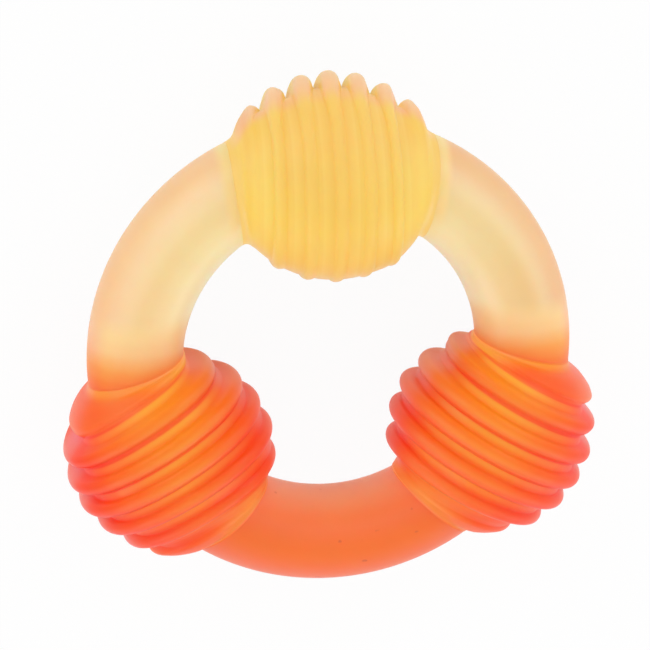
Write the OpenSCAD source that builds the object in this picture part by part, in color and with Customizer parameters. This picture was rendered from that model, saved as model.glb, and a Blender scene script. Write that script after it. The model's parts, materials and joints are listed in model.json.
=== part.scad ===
// Chew ring: a round rubber tube bent into a ring, with three ribbed balls on it.
// The ring lies flat, with its axis along Z and the first ball towards +Y.
// The tube is three equal arcs, and each ball is a moulding with a curved blind
// socket at both ends. The arcs' ends are bonded into those sockets.

/* [Ring] */
// Radius from the ring's centre to the tube's middle line
ring_r = 45; // [42:0.5:60]
// Radius of the round tube
tube_r = 11; // [8:0.1:12.5]

/* [Ribbed balls] */
// Radius of a ball over its ribs
ball_r = 24; // [22:0.1:26]
// How far the top ball's centre lies inside the tube's middle line
top_ball_inset = 3; // [0:0.1:4]
// How far the lower balls' centres lie inside the tube's middle line
low_ball_inset = 1.6; // [0:0.1:4]
// Ribs on a ball, with the plain end at each side counted as one
rib_count = 7; // [5:1:9]
// Length of the plain end outside a ball's outermost groove, along the ball's axis
plain_end_l = 8.25; // [6.5:0.05:10]
// Depth of the grooves at the ball's middle
mid_groove_depth = 4; // [2.5:0.1:5]
// Depth of the two outermost grooves
end_groove_depth = 2.8; // [1.5:0.1:4]
// Width of a groove at its floor
groove_floor_w = 1.2; // [0.3:0.05:1.8]
// Rounding of a plain end where it drops into its groove
shoulder_r = 1.5; // [0.8:0.1:2.2]

/* [Bonded joints] */
// Length of solid rubber in a ball between its two sockets, along the ball's axis
core_l = 29; // [20:0.5:36]
// Gap all round between a tube's end and its socket's wall
bond_gap = 0.05; // [0.02:0.01:0.2]

/* [Hidden] */

// Facets for a preview
$fn = 96;

// Turns in degrees: a whole one, a quarter, and from one ball to the next
full_turn = 360;
quarter_turn = full_turn / 4;
ball_step = full_turn / 3;

// Where each ball's centre is, as a turn round the ring from +X
top_turn = quarter_turn;
left_turn = top_turn + ball_step;
right_turn = top_turn - ball_step;

// Turn from a ball's centre to the end of the tube, on the floor of its socket
plug_turn = asin(core_l / (2 * ring_r));

// Turn from a ball's centre, centre_r from the ring's, to where the tube's middle line
// comes out of the ball, by the law of cosines in the triangle of these three points
function exit_turn(centre_r) = acos((ring_r * ring_r + centre_r * centre_r - ball_r * ball_r)
    / (2 * ring_r * centre_r));

// Turn at which the cut for a socket ends, well clear of the ball
function cut_turn(centre_r) = 2 * exit_turn(centre_r) - plug_turn;

// Grooves of a ball, the length they cover, and the distance from one to the next
groove_count = rib_count - 1;
groove_span = 2 * (ball_r - plain_end_l);
groove_pitch = groove_span / (groove_count - 1);
crest_r = (groove_pitch - groove_floor_w) / 2;

// Radius of the ball's outline at a distance z from its middle
function ball_outline(z) = sqrt(ball_r * ball_r - z * z);

// The grooves' floors lie on one flat arc, which runs through the floor at the
// ball's middle and the floors of the outermost grooves
floor_mid = ball_r - mid_groove_depth;
floor_end = ball_outline(groove_span / 2) - end_groove_depth;
floor_drop = floor_mid - floor_end;
floor_arc_r = (floor_drop * floor_drop + groove_span * groove_span / 4) / (2 * floor_drop);

// Middle of the round shoulder of a plain end, which touches the ball's outline
shoulder_z = groove_span / 2 + groove_floor_w / 2 + shoulder_r;
shoulder_x = sqrt(pow(ball_r - shoulder_r, 2) - shoulder_z * shoulder_z);

// Colours of the rubber
deep_yellow = [0.97, 0.80, 0.37];
pale_yellow = [0.96, 0.85, 0.60];
red_orange = [1.00, 0.43, 0.16];
salmon = [0.96, 0.47, 0.28];

// A rectangle from the ball's axis out to x, between two places along the axis
module bar(x, z_low, z_high) {
    translate([0, z_low]) square([x, z_high - z_low]);
}

// The part of the ball that the grooves don't cut: a lens-shaped half outline
module groove_floor() {
    intersection() {
        translate([floor_mid - floor_arc_r, 0]) circle(floor_arc_r);
        bar(ball_r, -shoulder_z, shoulder_z);
    }
}

// One rib: a round crest that touches the ball's outline, on a straight leg
module rib(z) {
    crest_x = ball_outline(z) - crest_r;
    translate([crest_x, z]) circle(crest_r);
    bar(crest_x, z - crest_r, z + crest_r);
}

// A plain end: the ball's own outline from the round shoulder to the axis
module plain_end() {
    translate([shoulder_x, shoulder_z]) circle(shoulder_r);
    bar(shoulder_x, shoulder_z - shoulder_r, shoulder_z);
    intersection() {
        circle(ball_r);
        polygon([[0, 0], [2 * shoulder_x, 2 * shoulder_z], [0, 2 * ball_r]]);
    }
}

// Half outline of a ball, on the +X side of its axis
module ball_profile() {
    groove_floor();
    for (i = [1 : rib_count - 2]) rib(-groove_span / 2 + (i - 1 / 2) * groove_pitch);
    plain_end();
    mirror([0, 1]) plain_end();
}

// An arc of the tube, or of a socket round it, with its own radius
module tube_arc(r, from_turn, to_turn) {
    rotate([0, 0, from_turn])
        rotate_extrude(angle = to_turn - from_turn)
            translate([ring_r, 0]) circle(r);
}

// A ribbed ball on the ring, with its two sockets
module ball_at(turn, inset) {
    centre_r = ring_r - inset;
    cut = cut_turn(centre_r);
    difference() {
        rotate([0, 0, turn])
            translate([centre_r, 0, 0])
                rotate([quarter_turn, 0, 0])
                    rotate_extrude() ball_profile();
        tube_arc(tube_r + bond_gap, turn + plug_turn, turn + cut);
        tube_arc(tube_r + bond_gap, turn - cut, turn - plug_turn);
    }
}

// A tube arc from the ball at one turn to the next ball, counter-clockwise
module tube_from(turn) {
    tube_arc(tube_r, turn + plug_turn, turn + ball_step - plug_turn);
}

module top_ball() {
    color(deep_yellow) ball_at(top_turn, top_ball_inset);
}

module left_ball() {
    color(red_orange) ball_at(left_turn, low_ball_inset);
}

module right_ball() {
    color(red_orange) ball_at(right_turn, low_ball_inset);
}

module left_tube() {
    color(pale_yellow) tube_from(top_turn);
}

module right_tube() {
    color(pale_yellow) tube_from(right_turn);
}

module bottom_tube() {
    color(salmon) tube_from(left_turn);
}

top_ball();
left_ball();
right_ball();
left_tube();
right_tube();
bottom_tube();
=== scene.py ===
import json
import math

import bpy
import numpy as np
from mathutils import Matrix, Vector

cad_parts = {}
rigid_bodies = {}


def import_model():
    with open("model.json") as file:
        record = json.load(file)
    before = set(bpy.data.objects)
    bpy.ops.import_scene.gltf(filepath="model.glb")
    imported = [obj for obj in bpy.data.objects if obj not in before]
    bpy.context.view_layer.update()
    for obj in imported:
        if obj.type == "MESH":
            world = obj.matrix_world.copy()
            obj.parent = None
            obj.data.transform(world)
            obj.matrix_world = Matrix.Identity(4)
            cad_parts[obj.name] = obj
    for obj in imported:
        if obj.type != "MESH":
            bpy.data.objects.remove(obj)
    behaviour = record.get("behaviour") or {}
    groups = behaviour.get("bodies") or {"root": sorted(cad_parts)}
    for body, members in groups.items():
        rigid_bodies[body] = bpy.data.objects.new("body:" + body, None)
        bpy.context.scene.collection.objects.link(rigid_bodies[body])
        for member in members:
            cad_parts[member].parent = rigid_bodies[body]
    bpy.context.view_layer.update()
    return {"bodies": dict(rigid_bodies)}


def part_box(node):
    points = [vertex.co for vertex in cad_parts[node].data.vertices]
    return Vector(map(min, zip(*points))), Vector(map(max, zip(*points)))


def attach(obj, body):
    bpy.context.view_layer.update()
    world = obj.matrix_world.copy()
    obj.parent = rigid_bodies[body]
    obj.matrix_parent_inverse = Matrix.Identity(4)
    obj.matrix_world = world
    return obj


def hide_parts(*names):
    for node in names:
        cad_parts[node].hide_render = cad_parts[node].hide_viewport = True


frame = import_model()

# Chew ring: three ribbed balls joined by three arcs of round tube, all in frosted, translucent rubber.
# Lengths are in metres. The ring lies flat with its axis along Z, and the yellow ball is towards +Y.

MM = 0.001
BODY = "root" if "root" in frame["bodies"] else next(iter(frame["bodies"]))

# Sizes read from the frame
tube_low, tube_high = (np.array(corner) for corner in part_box("bottom_tube"))
ball_low, ball_high = (np.array(corner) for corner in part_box("top_ball"))
TUBE_R = (tube_high[2] - tube_low[2]) / 2
RING_R = -tube_low[1] - TUBE_R
BALL_R = (ball_high[2] - ball_low[2]) / 2
TOP_CENTRE_R = ball_high[1] - BALL_R

# Sizes of the balls and joints, as the construction has them
LOW_CENTRE_R = RING_R - 1.6 * MM
RIB_COUNT = 7
PLAIN_END_L = 8.25 * MM
CORE_L = 29 * MM
BOND_GAP = 0.05 * MM

# Radius of a socket's wall, and the turn round the ring from a ball's centre to the floor of its socket
WALL_R = TUBE_R + BOND_GAP
PLUG_TURN = math.asin(CORE_L / (2 * RING_R))

# Length from a ball's middle to its outermost grooves, and from each groove to the next
GROOVED_L = BALL_R - PLAIN_END_L
PITCH = 2 * GROOVED_L / (RIB_COUNT - 2)

# Depth of the grooves at a ball's middle and at its outermost grooves, and how much deeper they are cut
# on the ring's outer side
MID_GROOVE_DEPTH = 1.4 * MM
END_GROOVE_DEPTH = 1.1 * MM
OUTER_EXTRA = 2.7 * MM

# A rib has a round tip on two slanted flanks, each of which runs straight down to its foot
TIP_R = 2.15 * MM
FOOT_HALF_W = 2.9 * MM
FOOT_DEPTH = 4.0 * MM

# Round shoulder of a plain end, its gap to the outermost groove, and where its middle is along the axis
SHOULDER_R = 1.8 * MM
SHOULDER_GAP = 0.3 * MM
SHOULDER_Z = GROOVED_L + SHOULDER_GAP + SHOULDER_R

# The ribbed part of a ball ends where the shoulder touches the ball's outline, at RIBS_END along the axis,
# or CAP_L before a fillet where that is nearer the ball's middle
RIBS_END = SHOULDER_Z * BALL_R / (BALL_R - SHOULDER_R)
CAP_L = 0.8 * MM

# Width of the bell curve that softens the ribs' outline
OUTLINE_SOFT = 0.15 * MM

# Where the balls are, as turns round the ring from +X in degrees
TOP_TURN = 90
LEFT_TURN = 210.9
RIGHT_TURN = 330
FULL_TURN = 360

# Radius of the soft fillet between a ball and its tube, on the ring's outer side and on its inner side: for
# the yellow ball, and for the upper and lower end of a red-orange ball
TOP_BLEND = (6.0 * MM, 1.5 * MM)
UPPER_BLEND = (4.0 * MM, 0.35 * MM)
LOWER_BLEND = (2.2 * MM, 0.35 * MM)

# Unevenness of the cast balls, in millimetres. Each pair is for a ball's clockwise end and its
# counter-clockwise end.
# outer and inner: moves away from the axis on the ring's outer and inner side, at the places along the
# axis in OUTER_AT and INNER_AT.
# inner_groove: how much deeper the grooves are on the ring's inner side.
# squeeze: how far the grooves lie nearer the ball's middle on the ring's outer side.
# slide: how far all the grooves lie towards the counter-clockwise end.
# front_slide: how much further they do so where the ball faces up or down.
# step: how much further they do so on its upper half, less and less towards the ring's inner side.
# fill: how much shallower the grooves are on the upper half.
# edge: how quickly they deepen towards the ring's outer side, as a power.
# deepest: how far below that side they are deepest, in degrees.
OUTER_AT = (12.0, 16.5, 18.5, 20.5, 22.6)
INNER_AT = (8.0, 12.6, 15.0, 16.8, 18.4)
EVEN_FORM = {"slide": 0.0, "front_slide": 0.0, "step": 0.0, "fill": 0.0, "edge": 6, "deepest": 0}
TOP_FORM = {
    **EVEN_FORM,
    "outer": ((0, 0.9, 1.9, 2.2, 0), (0, 1.3, 2.0, 1.5, 0)),
    "inner": ((0, 0.5, 0.4, 0.2, 0), (0, 0, 0, 0, 0)),
    "inner_groove": (-0.2, 0.2),
    "squeeze": (0.55, 0.5),
    "slide": -0.3,
    "step": 1.5,
    "fill": 0.85,
    "edge": 4,
    "deepest": 25,
}
LEFT_FORM = {
    **EVEN_FORM,
    "outer": ((0.5, 0.9, 1.1, 1.5, 1.6), (-0.5, 0.4, 1.8, 2.0, 1.6)),
    "inner": ((-0.3, -1.1, -1.0, -0.5, 0), (0.4, 0.3, 0.2, 0, 0)),
    "inner_groove": (1.4, -0.6),
    "squeeze": (1.1, 0.5),
    "front_slide": -1.8,
}
RIGHT_FORM = {
    **EVEN_FORM,
    "outer": ((0.4, 0.9, 0.9, 0.8, 0.5), (0, 0.7, 1.9, 2.7, 2.6)),
    "inner": ((0, 0, 0, 0, 0), (-0.8, -1.7, -0.6, 0.5, 0)),
    "inner_groove": (1.0, 1.4),
    "squeeze": (0.6, 0.4),
    "slide": 0.6,
}

# The fill and the step come in between these two sines of the turn round the ball's axis
FILL_SINES = (-0.2, 0.4)
STEP_SINES = (-0.35, 0.45)

# Slides along the axis are whole up to SLIDE_WHOLE and gone from SLIDE_GONE on. Every move is gone at the
# socket's wall and whole from CLEAR_L away from it.
SLIDE_WHOLE = GROOVED_L + 1.5 * MM
SLIDE_GONE = BALL_R - 2.5 * MM
CLEAR_L = 1.6 * MM

# How far inside a joint its hidden faces begin, and the sharpest corner that is still shaded smooth
HIDDEN_AT = 0.03 * MM
SMOOTH_CORNER = math.radians(50)

# Grid counts
AROUND_BALL = 176
RIB_ROWS = 260
CAP_ROWS = 10
BLEND_ROWS = 8
WALL_ROWS = 4
AROUND_TUBE = 128
TUBE_ROWS = 150

# Steps of the finer lines that the grids are picked from
AXIS_STEPS = 20001
OUTLINE_STEPS = 12 * RIB_ROWS
SECTION_STEPS = 4001


def grid_mesh(name, rows, hidden, marks=None):
    """A closed surface from an array of rings, shaped (rings, points, 3). Neighbouring rings are joined
    by quads, each ring closes on itself, and a pole at either end closes the surface with triangles. The
    faces of the first few rings, counted by hidden, take the second material, and those of the last few
    the third. marks are three numbers for each point, kept on the mesh as on_ball for the material."""
    count, around = rows.shape[:2]
    verts = rows.reshape(-1, 3)
    i = np.arange(count - 1)[:, None] * around
    j = np.arange(around)[None, :]
    k = (j + 1) % around
    quads = np.stack([i + j, i + k, i + around + k, i + around + j], axis=-1).reshape(-1, 4)
    start_pole = len(verts)
    verts = np.vstack([verts, rows[0].mean(axis=0), rows[-1].mean(axis=0)])
    last = (count - 1) * around
    ring = np.arange(around)
    after = (ring + 1) % around
    fans = np.vstack([
        np.stack([np.full(around, start_pole), after, ring], axis=-1),
        np.stack([np.full(around, start_pole + 1), last + ring, last + after], axis=-1),
    ])
    mesh = bpy.data.meshes.new(name)
    mesh.from_pydata(verts.tolist(), [], quads.tolist() + fans.tolist())
    mesh.shade_smooth()
    mesh.set_sharp_from_angle(angle=SMOOTH_CORNER)
    strip = np.arange(count - 1)
    worn = np.where(strip < hidden, 1, np.where(strip >= count - 1 - hidden, 2, 0))
    worn = np.concatenate([np.repeat(worn, around), np.repeat([1, 2], around)])
    mesh.polygons.foreach_set("material_index", worn.astype(np.int32))
    if marks is not None:
        kept = np.vstack([marks.reshape(-1, 3), marks[0].mean(axis=0), marks[-1].mean(axis=0)])
        layer = mesh.attributes.new("on_ball", "FLOAT_VECTOR", "POINT")
        layer.data.foreach_set("vector", kept.astype(np.float32).ravel())
    piece = bpy.data.objects.new(name, mesh)
    bpy.context.collection.objects.link(piece)
    return piece


def smooth_step(value, low, high):
    """0 up to low, 1 from high on, and three times t squared less twice t cubed between, where t is the
    share of the way from low to high."""
    share = np.clip((value - low) / (high - low), 0, 1)
    return share * share * (3 - 2 * share)


def ball_outline(z):
    """Radius of the ball's round outline at distance z along its axis: the circle of radius BALL_R."""
    return np.sqrt(np.maximum(BALL_R ** 2 - z ** 2, 0))


def rib_drop(away):
    """How far a rib's surface lies below its crest at distance away from the crest's middle: the drop of
    a circle of radius TIP_R, and past the touching point the straight flank from there to the foot."""
    foot = np.array([FOOT_HALF_W, TIP_R - FOOT_DEPTH])
    reach = math.hypot(*foot)
    turn = math.atan2(foot[1], foot[0]) + math.acos(TIP_R / reach)
    touch = TIP_R * np.array([math.cos(turn), math.sin(turn)])
    slope = (foot[1] - touch[1]) / (foot[0] - touch[0])
    away = np.abs(away)
    on_tip = TIP_R - np.sqrt(np.maximum(TIP_R ** 2 - away ** 2, 0))
    on_flank = TIP_R - touch[1] - slope * (away - touch[0])
    return np.where(away < touch[0], on_tip, on_flank)


def ribs_outline(z):
    """Distance of the ribs and shoulders from the ball's axis at distance z along it. Each rib's crest
    touches the ball's outline, and each shoulder is a circle of radius SHOULDER_R that touches it from
    inside."""
    ribs = np.zeros_like(z)
    for i in range(RIB_COUNT - 2):
        middle = -GROOVED_L + (i + 0.5) * PITCH
        ribs = np.maximum(ribs, ball_outline(middle) - rib_drop(z - middle))
    shoulder_x = math.sqrt((BALL_R - SHOULDER_R) ** 2 - SHOULDER_Z ** 2)
    away = np.abs(z) - SHOULDER_Z
    rise = np.sqrt(np.maximum(SHOULDER_R ** 2 - away ** 2, 0))
    return np.maximum(ribs, np.where(away >= -SHOULDER_R, shoulder_x + rise, 0))


def groove_floors(z):
    """Distance of the grooves' floors from the ball's axis at distance z along it: one flat arc through
    the floor at the ball's middle and the floors of the outermost grooves."""
    floor_mid = BALL_R - MID_GROOVE_DEPTH
    drop = floor_mid - (ball_outline(GROOVED_L) - END_GROOVE_DEPTH)
    arc_r = (drop ** 2 + GROOVED_L ** 2) / (2 * drop)
    return floor_mid - arc_r + np.sqrt(arc_r ** 2 - z ** 2)


def rib_profile(alpha, form, low_end, high_end):
    """Outline of the ribbed part of a ball at each turn alpha round its axis, as (distance from the
    axis, distance along it), shaped (rows, turns). It is the larger of the ribs' outline and the
    grooves' floors, which are cut deeper or shallower as form says. At each turn it runs from low_end to
    high_end."""
    z = np.linspace(-RIBS_END, RIBS_END, AXIS_STEPS)
    ribs = ribs_outline(z)
    floors = groove_floors(z)
    inner = np.interp(z, [-GROOVED_L, GROOVED_L], form["inner_groove"]) * MM
    deepest = np.maximum(np.cos(alpha + math.radians(form["deepest"])), 0) ** form["edge"]
    fill = form["fill"] * MM * smooth_step(np.sin(alpha), *FILL_SINES)
    extra = OUTER_EXTRA * deepest - fill
    columns = []
    for add, facing, low, high in zip(extra, np.cos(alpha), low_end, high_end):
        kept = (z >= low) & (z <= high)
        cut = add + inner * max(-facing, 0) ** 3
        columns.append(soft_outline(z[kept], np.maximum(ribs, floors - cut)[kept]))
    return np.array(columns).transpose(1, 2, 0)


def soft_outline(z, x):
    """The outline x over z, spaced evenly along its own length, softened with a bell curve of width
    OUTLINE_SOFT and picked at RIB_ROWS places. Returned as (x, z)."""
    length = np.concatenate([[0], np.cumsum(np.hypot(np.diff(x), np.diff(z)))])
    even = np.linspace(0, length[-1], OUTLINE_STEPS)
    x, z = np.interp(even, length, x), np.interp(even, length, z)
    pad = int(4 * OUTLINE_SOFT / even[1])
    bell = np.exp(-0.5 * (np.arange(-pad, pad + 1) * even[1] / OUTLINE_SOFT) ** 2)
    bell /= bell.sum()
    soft_x = np.convolve(np.pad(x, pad, mode="reflect", reflect_type="odd"), bell, mode="valid")
    soft_z = np.convolve(np.pad(z, pad, mode="reflect", reflect_type="odd"), bell, mode="valid")
    pick = np.linspace(0, len(even) - 1, RIB_ROWS).round().astype(int)
    return soft_x[pick], soft_z[pick]


def end_move(along, places, ends):
    """Move away from the axis at distance along, in millimetres. It runs straight from place to place,
    from nothing at the ball's middle, with the moves in ends for the clockwise and the counter-clockwise
    end."""
    away = np.abs(along) / MM
    cw_move, ccw_move = (np.interp(away, (0, *places), (0, *moves)) for moves in ends)
    return np.where(along > 0, ccw_move, cw_move)


def uneven(local, alpha, centre_r, form):
    """Points of a ball with its unevenness. The grooves slide along the axis, and are squeezed towards
    the ball's middle on the ring's outer side; both moves are gone again before the ball's ends. The
    outer and inner moves away from the axis grow as a square towards the ring's outer or inner side. All
    moves fade out towards the tube's surface, so that the joints stay closed."""
    along = local[..., 1]
    away = np.abs(along)
    outer = ((1 + np.cos(alpha)) / 2) ** 2
    inner = ((1 - np.cos(alpha)) / 2) ** 2
    squeeze = np.where(along > 0, -form["squeeze"][1], form["squeeze"][0])
    squeeze = squeeze * np.minimum(away / GROOVED_L, 1) ** 1.5 * outer
    front = form["front_slide"] * np.sin(alpha) ** 2
    step = form["step"] * smooth_step(np.sin(alpha), *STEP_SINES) * (1 - inner ** 2)
    kept = np.interp(away, [0, SLIDE_WHOLE, SLIDE_GONE, BALL_R], [1, 1, 0, 0])
    shift = (form["slide"] + front + step + squeeze) * kept * MM
    outer_move = end_move(along, OUTER_AT, form["outer"]) * outer
    inner_move = end_move(along, INNER_AT, form["inner"]) * inner
    move = (outer_move + inner_move) * MM
    flat = np.hypot(local[..., 0] + centre_r, along)
    clear = np.hypot(flat - RING_R, local[..., 2]) - WALL_R
    free = smooth_step(clear, 0, CLEAR_L)
    out = np.stack([np.cos(alpha), 0 * alpha, np.sin(alpha)], axis=-1)
    return local + (free * move)[..., None] * out + (free * shift)[..., None] * np.array([0, 1.0, 0])


def wall_points(psi, turn, centre_r):
    """Points of the socket's wall at each turn round the ring, in the ball's frame: circles of radius
    WALL_R round the tube's middle line."""
    flat = RING_R + WALL_R * np.cos(psi)
    up = WALL_R * np.sin(psi)
    return np.stack([flat * np.cos(turn) - centre_r, flat * np.sin(turn), up + 0 * turn], axis=-1)


def fillet(psi, centre_r, blend):
    """Where a round fillet of radius f joins a ball and its tube, for each turn psi round the tube's
    section. The fillet's middle Q is f outside both the socket's wall and the ball, so the law of
    cosines gives the turn beta of Q round the ring. Returned in the ball's frame, as (outward, along the
    axis, up): Q, the point S where the fillet touches the ball, the turn beta and f."""
    f = blend[1] + (blend[0] - blend[1]) * (1 + np.cos(psi)) ** 2 / 4
    flat = RING_R + (WALL_R + f) * np.cos(psi)
    up = (WALL_R + f) * np.sin(psi)
    cos_beta = (flat ** 2 + centre_r ** 2 + up ** 2 - (BALL_R + f) ** 2) / (2 * flat * centre_r)
    beta = np.arccos(np.clip(cos_beta, -1, 1))
    q = np.stack([flat * np.cos(beta) - centre_r, flat * np.sin(beta), up], axis=-1)
    s = q * (BALL_R / (BALL_R + f))[:, None]
    return q, s, beta, f


def section_turns(alpha, centre_r, blend):
    """The turns psi round the tube's section at which the fillet touches the ball at the turns alpha
    round the ball's axis, looked up on a fine table."""
    fine = np.linspace(0, 2 * np.pi, SECTION_STEPS)
    touch = fillet(fine, centre_r, blend)[1]
    return np.interp(alpha, np.unwrap(np.arctan2(touch[:, 2], touch[:, 0])), fine)


def ribs_end(alpha, centre_r, blend):
    """How far the ribbed part reaches along the axis at each turn alpha: to the end of the round
    shoulder, or to CAP_L before the fillet where that is nearer."""
    touch = fillet(section_turns(alpha, centre_r, blend), centre_r, blend)[1]
    return np.minimum(RIBS_END, touch[:, 1] - CAP_L)


def ball_end(alpha, centre_r, blend, ribs_x, ribs_z):
    """Rings of one end of a ball, from its ribs over the plain end and the fillet to the floor of the
    socket. Columns are at the turns alpha round the ball's axis. ribs_x and ribs_z are where the ribbed
    part ends; its distance from the ball's outline there runs out evenly over the plain end. The fillet
    turns evenly from where it touches the ball to where it touches the wall."""
    psi = section_turns(alpha, centre_r, blend)
    q, s, beta, f = fillet(psi, centre_r, blend)
    share = (np.arange(1, CAP_ROWS + 1) / CAP_ROWS)[:, None]
    cap_z = ribs_z + (s[None, :, 1] - ribs_z) * share
    reach = ball_outline(cap_z) + (ribs_x - ball_outline(ribs_z)) * (1 - share)
    cap = np.stack([reach * np.cos(alpha), cap_z, reach * np.sin(alpha)], axis=-1)
    from_s = (s - q) / f[:, None]
    to_wall = (wall_points(psi, beta, centre_r) - q) / f[:, None]
    sweep = np.arccos(np.clip((from_s * to_wall).sum(axis=1), -1, 1))[None, :, None]
    share = (np.arange(1, BLEND_ROWS + 1) / BLEND_ROWS)[:, None, None]
    bend = (np.sin((1 - share) * sweep) * from_s + np.sin(share * sweep) * to_wall) / np.sin(sweep)
    blended = q + f[:, None] * bend
    first = beta - HIDDEN_AT / RING_R
    share = (np.arange(WALL_ROWS + 1) / WALL_ROWS)[:, None]
    socket = wall_points(psi, first + (PLUG_TURN - first) * share, centre_r)
    return np.concatenate([cap, blended, socket])


def make_ball(name, turn, centre_r, blends, form):
    """A ribbed ball with a socket at both ends, turned to its place round the ring. blends are the
    fillets of its clockwise and its counter-clockwise end. Each point's marks are how far it lies along
    the ball's even axis, the cosine of its turn round that axis, and its distance from the ball's
    centre."""
    alpha = np.arange(AROUND_BALL) * 2 * np.pi / AROUND_BALL
    low_end, high_end = (ribs_end(alpha, centre_r, blend) for blend in blends)
    x, z = rib_profile(alpha, form, -low_end, high_end)
    ribs = np.stack([x * np.cos(alpha), z, x * np.sin(alpha)], axis=-1)
    start = ball_end(alpha, centre_r, blends[0], x[0], -z[0])[::-1] * np.array([1.0, -1.0, 1.0])
    end = ball_end(alpha, centre_r, blends[1], x[-1], z[-1])
    even = np.concatenate([start, ribs, end])
    along = even[..., 1]
    marks = np.stack([along, np.cos(alpha) + 0 * along, np.linalg.norm(even, axis=-1)], axis=-1)
    local = uneven(even, alpha, centre_r, form)
    a = math.radians(turn)
    out_way = np.array([math.cos(a), math.sin(a), 0])
    along_way = np.array([-math.sin(a), math.cos(a), 0])
    up_way = np.array([0, 0, 1.0])
    points = out_way * (local[..., :1] + centre_r) + along_way * local[..., 1:2] + up_way * local[..., 2:]
    return grid_mesh(name, points, WALL_ROWS, marks)


def make_tube(name, turn, next_turn, from_ball, to_ball):
    """An arc of the tube from the ball at one turn to the ball at the next turn: circles of radius
    TUBE_R round the ring's middle line, with flat ends on the floors of the sockets. Between the joints
    its rings follow the line in which each ball meets it. from_ball and to_ball are each a ball's centre
    radius and fillet."""
    step = math.radians((next_turn - turn) % FULL_TURN)
    psi = -np.arange(AROUND_TUBE) * 2 * np.pi / AROUND_TUBE
    first = fillet(psi, *from_ball)[2] - HIDDEN_AT / RING_R
    last = step - fillet(psi, *to_ball)[2] + HIDDEN_AT / RING_R
    share = (np.arange(WALL_ROWS + 1) / WALL_ROWS)[:, None]
    open_share = (np.arange(1, TUBE_ROWS) / TUBE_ROWS)[:, None]
    beta = np.concatenate([
        PLUG_TURN + (first - PLUG_TURN) * share,
        first + (last - first) * open_share,
        last + (step - PLUG_TURN - last) * share,
    ]) + math.radians(turn)
    flat = RING_R + TUBE_R * np.cos(psi)
    points = np.stack([flat * np.cos(beta), flat * np.sin(beta), TUBE_R * np.sin(psi) + 0 * beta], axis=-1)
    return grid_mesh(name, points, WALL_ROWS)


# Materials

# How far light travels inside the rubber, as shares of its depth for red, green and blue
GLOW = (1.0, 0.6, 0.4)

# Frosted surface: its roughness, how much that varies, and how high and how strong its fine grain is
ROUGHNESS = 0.42
ROUGHNESS_SPREAD = 0.10
GRAIN_H = 0.04 * MM
GRAIN_STRENGTH = 0.25

# How much the rubber's shade varies, and how fine the noise of its shade, roughness and grain is
MOTTLE = 0.08
MOTTLE_SCALE = 90
ROUGHNESS_SCALE = 700
GRAIN_SCALE = 2600

# How strongly the rubber bends light
RUBBER_IOR = 1.45

# How far the change from pale yellow to orange wanders in all, and how fine the noise of that and of the
# bottom tube's specks is
WANDER_L = 2 * MM
WANDER_SCALE = 60
SPECK_SCALE = 420


def srgb(r, g, b):
    """A colour from its 0 to 255 values, as linear light by the sRGB curve."""
    values = np.array([r, g, b]) / 255
    linear = np.where(values <= 0.04045, values / 12.92, ((values + 0.055) / 1.055) ** 2.4)
    return (*linear.tolist(), 1.0)


def tint(red, green, blue):
    """What a colour's red, green and blue are multiplied by. It is written at half strength, since a
    ramp's colours reach no further than 1, and tinted doubles it again."""
    return (red / 2, green / 2, blue / 2, 1.0)


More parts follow.
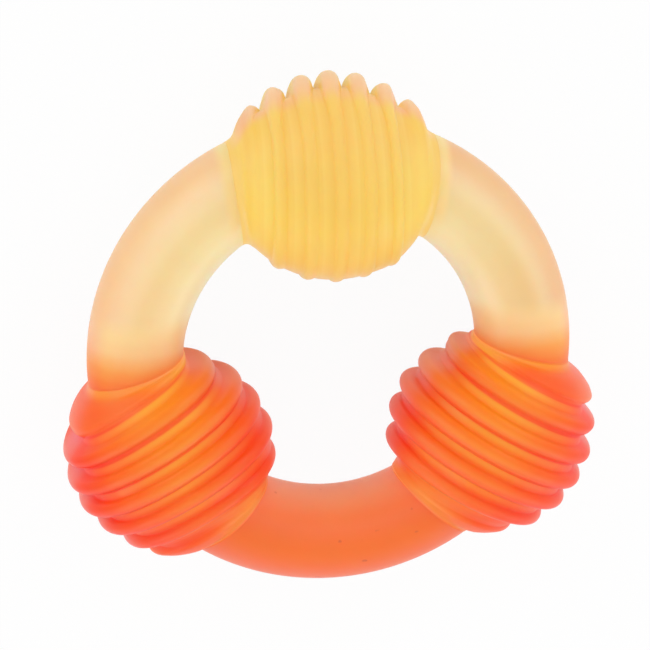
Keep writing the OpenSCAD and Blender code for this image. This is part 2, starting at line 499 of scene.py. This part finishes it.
class Nodes:
    """A short way to write a material's nodes."""

    def __init__(self, name):
        self.material = bpy.data.materials.new(name)
        self.material.use_nodes = True
        self.tree = self.material.node_tree
        self.tree.nodes.clear()

    def add(self, kind, **settings):
        """A new node of one kind, with its settings."""
        node = self.tree.nodes.new(kind)
        for key, value in settings.items():
            setattr(node, key, value)
        return node

    def put(self, socket, value):
        """Feeds a socket: with a link if value is another node's output, or else with the value
        itself."""
        if hasattr(value, "is_output"):
            self.tree.links.new(value, socket)
        else:
            socket.default_value = value

    def math(self, operation, a, b=0.0):
        """The result of one operation on the numbers a and b."""
        node = self.add("ShaderNodeMath", operation=operation)
        self.put(node.inputs[0], a)
        self.put(node.inputs[1], b)
        return node.outputs[0]

    def plus(self, a, b):
        """a plus b."""
        return self.math("ADD", a, b)

    def minus(self, a, b):
        """a less b."""
        return self.math("SUBTRACT", a, b)

    def times(self, a, b):
        """a times b."""
        return self.math("MULTIPLY", a, b)

    def vector(self, operation, a, b=(0, 0, 0)):
        """The result of one operation on the vectors or colours a and b: a number for LENGTH, or a
        vector."""
        node = self.add("ShaderNodeVectorMath", operation=operation)
        self.put(node.inputs[0], a)
        self.put(node.inputs[1], b)
        return node.outputs["Value"] if operation == "LENGTH" else node.outputs["Vector"]

    def parts(self, place):
        """The X, Y and Z of a place."""
        node = self.add("ShaderNodeSeparateXYZ")
        self.put(node.inputs[0], place)
        return node.outputs

    def smooth(self, value, low, high):
        """0 on low's side, 1 on high's side and a smooth change between. low may be the larger."""
        node = self.add("ShaderNodeMapRange", interpolation_type="SMOOTHSTEP")
        self.put(node.inputs["Value"], value)
        node.inputs["From Min"].default_value = low
        node.inputs["From Max"].default_value = high
        return node.outputs["Result"]

    def mix(self, share, a, b):
        """Colour a where share is 0, colour b where it is 1, and a straight mixture between."""
        node = self.add("ShaderNodeMix", data_type="RGBA", blend_type="MIX")
        self.put(node.inputs["Factor"], share)
        self.put(node.inputs["A"], a)
        self.put(node.inputs["B"], b)
        return node.outputs["Result"]

    def tinted(self, share, colour, tints):
        """A colour times a tint, where share says how much of the tint is used."""
        half_strength = self.mix(share, tint(1, 1, 1), tints)
        return self.vector("MULTIPLY", colour, self.vector("MULTIPLY", half_strength, (2, 2, 2)))

    def noise(self, place, scale, detail, roughness=0.5):
        """Cloudy noise from 0 to 1, with about scale clouds to a metre."""
        node = self.add("ShaderNodeTexNoise")
        self.put(node.inputs["Vector"], place)
        node.inputs["Scale"].default_value = scale
        node.inputs["Detail"].default_value = detail
        node.inputs["Roughness"].default_value = roughness
        return node.outputs["Fac"]

    def ramp(self, value, low, high, stops):
        """A colour that runs from stop to stop as value goes from low to high. stops is a list of
        (value, colour) in rising order."""
        share = self.add("ShaderNodeMapRange", clamp=True)
        self.put(share.inputs["Value"], value)
        share.inputs["From Min"].default_value = low
        share.inputs["From Max"].default_value = high
        node = self.add("ShaderNodeValToRGB")
        self.put(node.inputs["Fac"], share.outputs["Result"])
        band = node.color_ramp
        band.interpolation = "CARDINAL"
        while len(band.elements) < len(stops):
            band.elements.new(0.5)
        for element, (at, colour) in zip(band.elements, stops):
            element.position = (at - low) / (high - low)
            element.color = colour
        return node.outputs["Color"]

    def finish(self, shader):
        """The material, with this shader as its surface."""
        out = self.add("ShaderNodeOutputMaterial")
        self.put(out.inputs["Surface"], shader)
        return self.material


def rubber(name, colour, depth, gloss):
    """Frosted translucent rubber. colour(n, place) gives its colour, depth is how far light travels
    inside it, and gloss is how strongly its surface shines."""
    n = Nodes(name)
    place = n.add("ShaderNodeTexCoord").outputs["Object"]
    body = colour(n, place)
    shade = n.plus(n.times(n.noise(place, MOTTLE_SCALE, 3), MOTTLE), 1 - MOTTLE / 2)
    shader = n.add("ShaderNodeBsdfPrincipled", subsurface_method="RANDOM_WALK")
    n.put(shader.inputs["Base Color"], n.vector("MULTIPLY", body, shade))
    shader.inputs["Subsurface Weight"].default_value = 1.0
    shader.inputs["Subsurface Radius"].default_value = GLOW
    shader.inputs["Subsurface Scale"].default_value = depth
    shader.inputs["Subsurface Anisotropy"].default_value = 0.0
    shader.inputs["IOR"].default_value = RUBBER_IOR
    shader.inputs["Specular IOR Level"].default_value = gloss
    spread = n.times(n.noise(place, ROUGHNESS_SCALE, 2), ROUGHNESS_SPREAD)
    n.put(shader.inputs["Roughness"], n.plus(spread, ROUGHNESS - ROUGHNESS_SPREAD / 2))
    bump = n.add("ShaderNodeBump")
    bump.inputs["Strength"].default_value = GRAIN_STRENGTH
    bump.inputs["Distance"].default_value = GRAIN_H
    n.put(bump.inputs["Height"], n.noise(place, GRAIN_SCALE, 3, 0.6))
    n.put(shader.inputs["Normal"], bump.outputs["Normal"])
    return n.finish(shader.outputs["BSDF"])


def bonded(name, colour):
    """Hidden faces of a bonded joint, with a painted glow. Solid rubber passes light on there, so these
    faces give off light as the light inside the rubber does."""
    n = Nodes(name)
    shader = n.add("ShaderNodeBsdfPrincipled")
    shader.inputs["Base Color"].default_value = (0, 0, 0, 1)
    shader.inputs["Roughness"].default_value = 1.0
    shader.inputs["Specular IOR Level"].default_value = 0.0
    shader.inputs["Emission Color"].default_value = colour
    shader.inputs["Emission Strength"].default_value = 1.0
    return n.finish(shader.outputs["BSDF"])


def on_ball(n):
    """A place on a ball, from its mesh: how far along the ball's axis, the cosine of its turn round that
    axis, which is 1 on the ring's outer side and -1 on its inner side, and its distance from the ball's
    centre."""
    marks = n.parts(n.add("ShaderNodeAttribute", attribute_name="on_ball").outputs["Vector"])
    return marks["X"], marks["Y"], marks["Z"]


def across_tube(n, place):
    """Where a place lies across the tube: -1 on the ring's inner side, 0 over the middle line, 1
    outside."""
    flat = n.vector("LENGTH", n.vector("MULTIPLY", place, (1, 1, 0)))
    return n.math("DIVIDE", n.minus(flat, RING_R), TUBE_R)


def rib_phase(n, along):
    """Place within one rib: 0 in the groove before it, 0.5 on its crest and 1 in the groove after it. It
    is what the length in pitches leaves over whole ones. Half a pitch is added because a crest is at the
    ball's middle, and ten more so that the number isn't negative."""
    return n.math("FRACT", n.plus(n.math("DIVIDE", along, PITCH), 10.5))


# Pale yellow where the yellow ball meets its tubes
JUNCTION_YELLOW = srgb(250, 219, 154)


def top_ball_colour(n, place):
    """Deep yellow, paler towards the ring's inner side as painted light. Painted light and shade over the
    ribs: a paler line in each groove and a warmer rib between, and a painted peach glow on its crest where
    that faces outward. The plain ends are a little pinker, and deeper yellow on the ring's outer side. Each
    end is darker just before its tube and then turns pale, sooner on the ring's inner side and at the
    clockwise end."""
    along, outward, reach = on_ball(n)
    away = n.math("ABSOLUTE", along)
    # Across the ring: deep yellow, paler towards the inner side, where painted light lifts the shade the
    # lamps leave there.
    body = n.ramp(outward, -1, 1, [
        (-1.0, srgb(247, 208, 144)),
        (-0.8, srgb(248, 204, 114)),
        (-0.3, srgb(243, 205, 102)),
        (0.2, srgb(240, 205, 107)),
        (0.6, srgb(239, 202, 108)),
        (1.0, srgb(241, 199, 108)),
    ])
    # Painted light and shade over the ribs: paler in the grooves, for light the translucent rubber lets in,
    # and warmer and darker on the crests, to even out the ribs' shading.
    rib_light_and_shade = n.ramp(rib_phase(n, away), 0, 1, [
        (0.00, tint(1.01, 1.02, 1.05)),
        (0.13, tint(1.01, 1.05, 1.16)),
        (0.18, tint(1.00, 1.01, 1.04)),
        (0.27, tint(1.00, 1.01, 1.02)),
        (0.38, tint(1.00, 0.97, 0.95)),
        (0.50, tint(1.00, 0.95, 0.91)),
        (0.65, tint(1.00, 0.95, 0.90)),
        (0.80, tint(1.00, 0.97, 0.95)),
        (0.92, tint(1.00, 1.00, 1.02)),
        (1.00, tint(1.01, 1.02, 1.05)),
    ])
    body = n.tinted(n.smooth(away, GROOVED_L + 2.5 * MM, GROOVED_L + 1.2 * MM), body, rib_light_and_shade)
    plain_end = n.smooth(away, GROOVED_L - 1.0 * MM, GROOVED_L + 2.5 * MM)
    body = n.tinted(plain_end, body, tint(1.02, 0.96, 1.02))
    outer_end = n.times(plain_end, n.smooth(outward, 0.55, 0.9))
    body = n.tinted(outer_end, body, tint(0.99, 0.96, 0.74))
    # Painted light: a peach glow on the crests that face outward, where thin translucent rubber lets light
    # through.
    crest = n.smooth(reach, BALL_R - 2.4 * MM, BALL_R - 0.2 * MM)
    tip = n.times(n.smooth(outward, 0.88, 0.995), crest)
    body = n.mix(n.times(tip, 0.85), body, srgb(245, 178, 138))
    lopsided = n.minus(away, n.times(along, 0.012))
    pale = n.smooth(n.minus(lopsided, n.times(outward, 4 * MM)), 21.6 * MM, 23.4 * MM)
    deep_end = n.smooth(away, GROOVED_L + 3.0 * MM, GROOVED_L + 4.8 * MM)
    deep_end = n.times(deep_end, n.minus(1.0, n.times(pale, 0.7)))
    pale = n.math("MAXIMUM", pale, n.smooth(reach, BALL_R + 0.3 * MM, BALL_R + 2.6 * MM))
    body = n.mix(pale, body, JUNCTION_YELLOW)
    return n.tinted(deep_end, body, tint(0.97, 0.89, 0.82))


def low_ball_colour(toward, lean, tilt, red_from, end_stops, lower_stops):
    """The colour of a red-orange ball, with painted light and shade over its ribs. The grooves are a bright
    yellow-orange for the light that the translucent rubber passes into them, with a painted dark red shadow
    line at the foot of the rib above. Each rib is a darker pinkish red on the flank over that line, in
    painted shade. The ball is redder towards the ring's outer and inner side, partly its own tone and
    partly painted shade, and it has a painted pink glow at its rim. Its plain end next to the pale tube is
    orange.
    toward: 1 if the counter-clockwise end is next to the pale tube, or -1.
    lean: how far the orange moves towards the inner side.
    tilt: how much sooner the inner side turns red, as a length along the axis.
    red_from: where the plain end turns red, across the ring.
    end_stops, lower_stops: colours of the plain end and of the lower half, across the ring. The last of the
    lower half's colours is the rim's painted pink glow."""
    # Across the ring: redder towards the outer and inner side, partly the rubber's own tone and partly
    # painted shade, and a paler pink at the very rim, a painted glow.
    upper_stops = [
        (-1.00, srgb(255, 150, 112)),
        (-0.92, srgb(254, 126, 60)),
        (-0.72, srgb(253, 128, 46)),
        (-0.40, srgb(252, 136, 40)),
        (0.00, srgb(252, 134, 43)),
        (0.30, srgb(252, 118, 42)),
        (0.60, srgb(253, 97, 40)),
        (0.80, srgb(254, 74, 39)),
        (0.92, srgb(253, 73, 53)),
        lower_stops[-1],
    ]
    # Painted light and shade over each rib: bright yellow-orange in and beside the groove, a painted shadow
    # line just past it, and a darker pinkish flank in painted shade after that.
    rib_light_and_shade_stops = [
        (0.00, tint(1.00, 1.55, 1.60)),
        (0.07, tint(1.00, 1.65, 1.80)),
        (0.125, tint(1.00, 1.45, 1.60)),
        (0.165, tint(0.97, 0.80, 1.05)),
        (0.21, tint(0.97, 0.68, 1.05)),
        (0.32, tint(0.99, 0.76, 1.40)),
        (0.45, tint(1.00, 1.00, 1.65)),
        (0.56, tint(1.00, 0.98, 1.12)),
        (0.68, tint(1.00, 0.86, 0.56)),
        (0.80, tint(1.00, 0.98, 0.52)),
        (0.90, tint(1.00, 1.22, 0.80)),
        (1.00, tint(1.00, 1.55, 1.60)),
    ]
    far_end_stops = [
        (-1.0, srgb(249, 102, 42)),
        (-0.75, srgb(254, 137, 66)),
        (-0.5, srgb(252, 134, 58)),
        (0.0, srgb(246, 104, 38)),
        (0.5, srgb(246, 85, 34)),
        (1.0, srgb(246, 94, 62)),
    ]

    def colour(n, place):
        """The ball's colour with the painted light and shade of its ribs over it, and the colours of its
        plain ends."""
        along, outward, _ = on_ball(n)
        along = n.times(along, toward)
        bow = n.minus(1.0, n.times(outward, outward))
        side = n.plus(outward, n.times(bow, lean))
        lower_share = n.plus(along, n.times(n.math("MINIMUM", outward, 0.0), tilt))
        lower_share = n.smooth(lower_share, 5 * MM, -17 * MM)
        body = n.mix(lower_share, n.ramp(side, -1, 1, upper_stops), n.ramp(side, -1, 1, lower_stops))
        off_rim = n.smooth(n.math("ABSOLUTE", side), 1.1, 0.7)
        rib_shading_share = n.times(n.smooth(along, -24 * MM, -6 * MM), off_rim)
        body = n.tinted(rib_shading_share, body, n.ramp(rib_phase(n, along), 0, 1, rib_light_and_shade_stops))
        orange = n.vector("MULTIPLY", yellow_to_orange(n, place), (1.0, 0.81, 0.93))
        reddened = n.smooth(outward, red_from, red_from + 0.6)
        near_end = n.mix(reddened, orange, n.ramp(outward, 0, 1, end_stops))
        near_end = n.tinted(n.smooth(outward, -0.6, -0.97), near_end, tint(1.03, 1.25, 0.62))
        body = n.mix(n.smooth(along, GROOVED_L + 1.1 * MM, GROOVED_L + 1.7 * MM), body, near_end)
        far_end = n.ramp(outward, -1, 1, far_end_stops)
        return n.mix(n.smooth(along, -GROOVED_L + 0.2 * MM, -GROOVED_L - 0.9 * MM), body, far_end)

    return colour


def yellow_to_orange(n, place):
    """The soft change from pale yellow to orange along Y. It lies almost level across both sides of the
    ring, a little lower towards -X and on the ring's inner side, and it wanders by up to half of
    WANDER_L either way."""
    wander = n.times(n.minus(n.noise(place, WANDER_SCALE, 2), 0.5), WANDER_L)
    axes = n.parts(place)
    level = n.minus(axes["Y"], n.times(axes["X"], 0.012))
    inside = n.smooth(across_tube(n, place), -0.3, -1.0)
    level = n.plus(level, n.times(inside, 1.3 * MM))
    return n.ramp(n.plus(level, wander), -6 * MM, 14 * MM, [
        (-6 * MM, srgb(253, 118, 38)),
        (-3 * MM, srgb(253, 128, 41)),
        (-1 * MM, srgb(253, 144, 57)),
        (2 * MM, srgb(252, 168, 88)),
        (5 * MM, srgb(251, 194, 133)),
        (8 * MM, srgb(249, 206, 149)),
        (11 * MM, srgb(248, 212, 154)),
        (14 * MM, srgb(247, 215, 156)),
    ])


def upper_tube_colour(n, place):
    """Pale yellow, with painted light across it for the glow of the translucent rubber: palest on the
    ring's inner side, a little darker over the middle, and peach on the ring's outer side. Peach also
    towards the red-orange ball, and orange just before it. Next to the yellow ball it has the junction's
    yellow, except on the ring's inner side. The tube towards +X is a little darker, and more orange along
    its middle and its outer side."""
    across = across_tube(n, place)
    axes = n.parts(place)
    x, y = axes["X"], axes["Y"]
    # Painted light and shade across the tube: palest on the inner side, darker over the middle and peach at
    # the outer edge.
    body = n.ramp(across, -1, 1, [
        (-1.0, srgb(255, 251, 214)),
        (-0.7, srgb(254, 241, 196)),
        (-0.4, srgb(247, 231, 181)),
        (-0.1, srgb(241, 221, 167)),
        (0.15, srgb(239, 216, 161)),
        (0.4, srgb(243, 218, 170)),
        (0.65, srgb(243, 212, 168)),
        (0.85, srgb(242, 203, 155)),
        (1.0, srgb(241, 196, 150)),
    ])
    body = n.tinted(n.smooth(y, 36 * MM, 10 * MM), body, tint(1.00, 0.92, 0.92))
    off_middle = n.math("ABSOLUTE", n.plus(across, 0.1))
    middle = n.times(n.smooth(off_middle, 0.6, 0.2), n.smooth(y, 34 * MM, 20 * MM))
    body = n.tinted(n.times(n.smooth(x, 5 * MM, 30 * MM), middle), body, tint(0.98, 0.94, 0.87))
    right = n.smooth(x, 5 * MM, 25 * MM)
    body = n.tinted(right, body, tint(0.95, 0.97, 0.98))
    right_outside = n.times(right, n.smooth(across, 0.35, 0.75))
    body = n.tinted(right_outside, body, tint(0.97, 0.91, 0.85))
    # Painted edge glow: the orange part is redder towards its outer rim too.
    outer_rim = n.smooth(across, 0.65, 1.02)
    lower = n.tinted(outer_rim, yellow_to_orange(n, place), tint(0.97, 0.78, 0.93))
    body = n.mix(n.smooth(y, 14 * MM, 8 * MM), body, lower)
    reach = n.vector("LENGTH", n.vector("SUBTRACT", place, (0, TOP_CENTRE_R, 0)))
    near_ball = n.smooth(reach, BALL_R + 4.5 * MM, BALL_R + 2.2 * MM)
    outside = n.minus(1.0, n.times(n.smooth(across, -0.1, -0.6), 0.9))
    return n.mix(n.times(outside, near_ball), body, JUNCTION_YELLOW)


def bottom_tube_colour(n, place):
    """Salmon orange with a few dark specks, and painted light and shade across it: paler towards the ring's
    inner side, darker and pinker on its outer side.
    """
    # Painted light and shade across the tube: paler on the inner side, darker and pinker on the outer side.
    body = n.ramp(across_tube(n, place), -1, 1, [
        (-1.0, srgb(246, 172, 134)),
        (-0.7, srgb(248, 141, 84)),
        (-0.35, srgb(244, 130, 71)),
        (0.0, srgb(240, 122, 49)),
        (0.3, srgb(241, 121, 57)),
        (0.6, srgb(239, 118, 76)),
        (1.0, srgb(226, 110, 84)),
    ])
    speck = n.smooth(n.noise(place, SPECK_SCALE, 0), 0.80, 0.86)
    return n.mix(n.times(speck, 0.5), body, srgb(190, 84, 60))


left_ball_colour = low_ball_colour(
    toward=-1,
    lean=0.0,
    tilt=14 * MM,
    red_from=-0.45,
    end_stops=[
        (0.0, srgb(252, 116, 52)),
        (0.3, srgb(252, 114, 52)),
        (0.8, srgb(253, 101, 44)),
        (1.0, srgb(250, 113, 86)),
    ],
    lower_stops=[
        (-1.00, srgb(251, 98, 72)),
        (-0.92, srgb(253, 82, 46)),
        (-0.75, srgb(252, 82, 34)),
        (-0.45, srgb(251, 92, 30)),
        (-0.05, srgb(250, 100, 34)),
        (0.30, srgb(250, 94, 42)),
        (0.60, srgb(251, 80, 44)),
        (0.85, srgb(249, 92, 66)),
        (1.00, srgb(244, 114, 113)),
    ],
)
right_ball_colour = low_ball_colour(
    toward=1,
    lean=0.12,
    tilt=9 * MM,
    red_from=-0.8,
    end_stops=[
        (0.0, srgb(251, 97, 35)),
        (0.3, srgb(252, 97, 40)),
        (0.6, srgb(252, 101, 55)),
        (0.8, srgb(251, 112, 76)),
        (1.0, srgb(248, 116, 92)),
    ],
    lower_stops=[
        (-1.00, srgb(250, 92, 72)),
        (-0.92, srgb(253, 92, 54)),
        (-0.75, srgb(252, 112, 50)),
        (-0.45, srgb(251, 117, 44)),
        (-0.05, srgb(250, 107, 36)),
        (0.30, srgb(251, 92, 38)),
        (0.60, srgb(251, 77, 40)),
        (0.85, srgb(249, 88, 64)),
        (1.00, srgb(240, 118, 115)),
    ],
)

TOP_RUBBER = rubber("deep_yellow_rubber", top_ball_colour, depth=30 * MM, gloss=0.3)
LEFT_RUBBER = rubber("left_red_orange_rubber", left_ball_colour, depth=22 * MM, gloss=0.3)
RIGHT_RUBBER = rubber("right_red_orange_rubber", right_ball_colour, depth=22 * MM, gloss=0.3)
UPPER_RUBBER = rubber("pale_yellow_rubber", upper_tube_colour, depth=25 * MM, gloss=0.5)
BOTTOM_RUBBER = rubber("salmon_rubber", bottom_tube_colour, depth=20 * MM, gloss=0.4)

# Painted glow: a tube's hidden faces give off light onto the ball round them, and the ball's hidden faces
# onto the tube in them, for the light that solid rubber passes on. So in the yellow ball's joints the
# tubes' faces glow deep yellow like the ball, and the ball's paler like the tubes.
YELLOW_JOINT_GLOW = bonded("bonded_yellow_glow_faces", srgb(250, 214, 140))
DEEP_YELLOW_JOINT_GLOW = bonded("bonded_deep_yellow_glow_faces", srgb(250, 205, 108))
ORANGE_JOINT_GLOW = bonded("bonded_orange_glow_faces", srgb(253, 146, 74))
SALMON_JOINT_GLOW = bonded("bonded_salmon_glow_faces", srgb(248, 124, 74))

# Pieces of the ring. Each is a mesh, the node it stands for, its materials and its slot in the record. The
# materials are its rubber and those of the hidden faces at its clockwise and its counter-clockwise end.

TOP_JOINT = (TOP_CENTRE_R, TOP_BLEND)
UPPER_JOINT = (LOW_CENTRE_R, UPPER_BLEND)
LOWER_JOINT = (LOW_CENTRE_R, LOWER_BLEND)
PIECES = [
    (make_ball("top_ribbed_ball", TOP_TURN, TOP_CENTRE_R, (TOP_BLEND, TOP_BLEND), TOP_FORM),
     "top_ball", (TOP_RUBBER, YELLOW_JOINT_GLOW, YELLOW_JOINT_GLOW), "deep_yellow_rubber"),
    (make_ball("left_ribbed_ball", LEFT_TURN, LOW_CENTRE_R, (UPPER_BLEND, LOWER_BLEND), LEFT_FORM),
     "left_ball", (LEFT_RUBBER, ORANGE_JOINT_GLOW, SALMON_JOINT_GLOW), "red_orange_rubber"),
    (make_ball("right_ribbed_ball", RIGHT_TURN, LOW_CENTRE_R, (LOWER_BLEND, UPPER_BLEND), RIGHT_FORM),
     "right_ball", (RIGHT_RUBBER, SALMON_JOINT_GLOW, ORANGE_JOINT_GLOW), "red_orange_rubber"),
    (make_tube("left_tube_arc", TOP_TURN, LEFT_TURN, TOP_JOINT, UPPER_JOINT),
     "left_tube", (UPPER_RUBBER, DEEP_YELLOW_JOINT_GLOW, ORANGE_JOINT_GLOW), "pale_yellow_rubber"),
    (make_tube("right_tube_arc", RIGHT_TURN, TOP_TURN, UPPER_JOINT, TOP_JOINT),
     "right_tube", (UPPER_RUBBER, ORANGE_JOINT_GLOW, DEEP_YELLOW_JOINT_GLOW), "pale_yellow_rubber"),
    (make_tube("bottom_tube_arc", LEFT_TURN, RIGHT_TURN, LOWER_JOINT, LOWER_JOINT),
     "bottom_tube", (BOTTOM_RUBBER, SALMON_JOINT_GLOW, SALMON_JOINT_GLOW), "salmon_rubber"),
]
for piece, node, materials, slot in PIECES:
    for material in materials:
        piece.data.materials.append(material)
    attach(piece, BODY)
    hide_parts(node)

# Camera, set by the photograph's outline of the ring. The view is tilted about a line in the ring's plane
# at TILT_TURN from +X, and then rolled. PX_PER_M is the scale at the ring's centre.

TILT = math.radians(22.15)
TILT_TURN = math.radians(23.4)
ROLL = math.radians(1.3)
CAMERA_AWAY = 0.945
SENSOR_W = 36
NEAREST_SEEN = 0.01
FURTHEST_SEEN = 20
IMAGE_SIZE = 650
PX_PER_M = 4353.2
RING_CENTRE_PX = (329.67, 350.10)


def make_camera():
    """A camera CAMERA_AWAY from the ring, on the ring's axis tilted by TILT. It aims beside the ring's
    centre, so that the centre comes out at RING_CENTRE_PX. In the image the tilt line lies at TILT_TURN
    plus ROLL from level, and the lens makes PX_PER_M pixels of a metre at CAMERA_AWAY."""
    ring_axis = Vector((0, 0, 1))
    tilt_line = Vector((math.cos(TILT_TURN), math.sin(TILT_TURN), 0))
    across = Vector((-math.sin(TILT_TURN), math.cos(TILT_TURN), 0))
    towards = math.sin(TILT) * across + math.cos(TILT) * ring_axis
    across_seen = math.cos(TILT) * across - math.sin(TILT) * ring_axis
    turned = TILT_TURN + ROLL
    image_right = math.cos(turned) * tilt_line - math.sin(turned) * across_seen
    image_up = math.sin(turned) * tilt_line + math.cos(turned) * across_seen
    middle_px = IMAGE_SIZE / 2
    aim = (middle_px - RING_CENTRE_PX[0]) / PX_PER_M * image_right
    aim += (RING_CENTRE_PX[1] - middle_px) / PX_PER_M * image_up
    data = bpy.data.cameras.new("camera")
    data.sensor_width = SENSOR_W
    data.lens = PX_PER_M * CAMERA_AWAY / IMAGE_SIZE * SENSOR_W
    data.clip_start = NEAREST_SEEN
    data.clip_end = FURTHEST_SEEN
    camera = bpy.data.objects.new("camera", data)
    bpy.context.collection.objects.link(camera)
    axes = Matrix((image_right, image_up, towards)).transposed()
    camera.matrix_world = Matrix.Translation(aim + CAMERA_AWAY * towards) @ axes.to_4x4()
    bpy.context.scene.camera = camera


# Floor and light. The floor is a square just under the balls, and the camera sees FLOOR_SEEN_WHITE of it as
# plain white. The lamps stand round the ring at LAMP_TURNS from +X in degrees, LAMP_AWAY from its centre
# and LAMP_TILT off its axis.

FLOOR_HALF_W = 3.0
FLOOR_Z = -BALL_R - 0.2 * MM
FLOOR_GREY = 0.93
FLOOR_SEEN_WHITE = 0.94
WORLD_STRENGTH = 0.825
LAMP_TURNS = {"up_left": 135, "up_right": 45, "down_left": 225, "down_right": 315}
LAMP_TILT = math.radians(70)
LAMP_AWAY = 1.0
LAMP_SIZE = 0.3
LAMP_POWER = 1.2


def make_floor():
    """A plain pale floor under the balls, which shows only a faint shadow."""
    mesh = bpy.data.meshes.new("floor")
    signs = [(-1, -1), (1, -1), (1, 1), (-1, 1)]
    corners = [(x * FLOOR_HALF_W, y * FLOOR_HALF_W, FLOOR_Z) for x, y in signs]
    mesh.from_pydata(corners, [], [(0, 1, 2, 3)])
    piece = bpy.data.objects.new("floor", mesh)
    bpy.context.collection.objects.link(piece)
    n = Nodes("floor_white")
    diffuse = n.add("ShaderNodeBsdfDiffuse")
    diffuse.inputs["Color"].default_value = (FLOOR_GREY, FLOOR_GREY, FLOOR_GREY, 1)
    white = n.add("ShaderNodeEmission")
    white.inputs["Color"].default_value = (1, 1, 1, 1)
    rays = n.add("ShaderNodeLightPath").outputs
    seen = n.math("MAXIMUM", rays["Is Glossy Ray"], rays["Is Transmission Ray"])
    seen = n.math("MAXIMUM", rays["Is Camera Ray"], seen)
    mix = n.add("ShaderNodeMixShader")
    n.put(mix.inputs[0], n.times(seen, FLOOR_SEEN_WHITE))
    n.put(mix.inputs[1], diffuse.outputs[0])
    n.put(mix.inputs[2], white.outputs[0])
    mesh.materials.append(n.finish(mix.outputs[0]))


def make_world():
    """Plain white light from all round."""
    world = bpy.data.worlds.new("studio")
    bpy.context.scene.world = world
    world.use_nodes = True
    back = world.node_tree.nodes["Background"]
    back.inputs["Color"].default_value = (1, 1, 1, 1)
    back.inputs["Strength"].default_value = WORLD_STRENGTH


def make_lamp(name, turn):
    """A soft square lamp at one turn round the ring, facing the ring's centre."""
    data = bpy.data.lights.new(name, "AREA")
    data.shape = "SQUARE"
    data.size = LAMP_SIZE
    data.energy = LAMP_POWER
    lamp = bpy.data.objects.new(name, data)
    bpy.context.collection.objects.link(lamp)
    round_ring = math.radians(turn)
    level = Vector((math.cos(round_ring), math.sin(round_ring), 0))
    place = LAMP_AWAY * (math.cos(LAMP_TILT) * Vector((0, 0, 1)) + math.sin(LAMP_TILT) * level)
    lamp.matrix_world = Matrix.Translation(place) @ place.to_track_quat("Z", "Y").to_matrix().to_4x4()


make_camera()
make_floor()
make_world()
for name, turn in LAMP_TURNS.items():
    make_lamp(name, turn)

bpy.context.scene.view_settings.view_transform = "Standard"
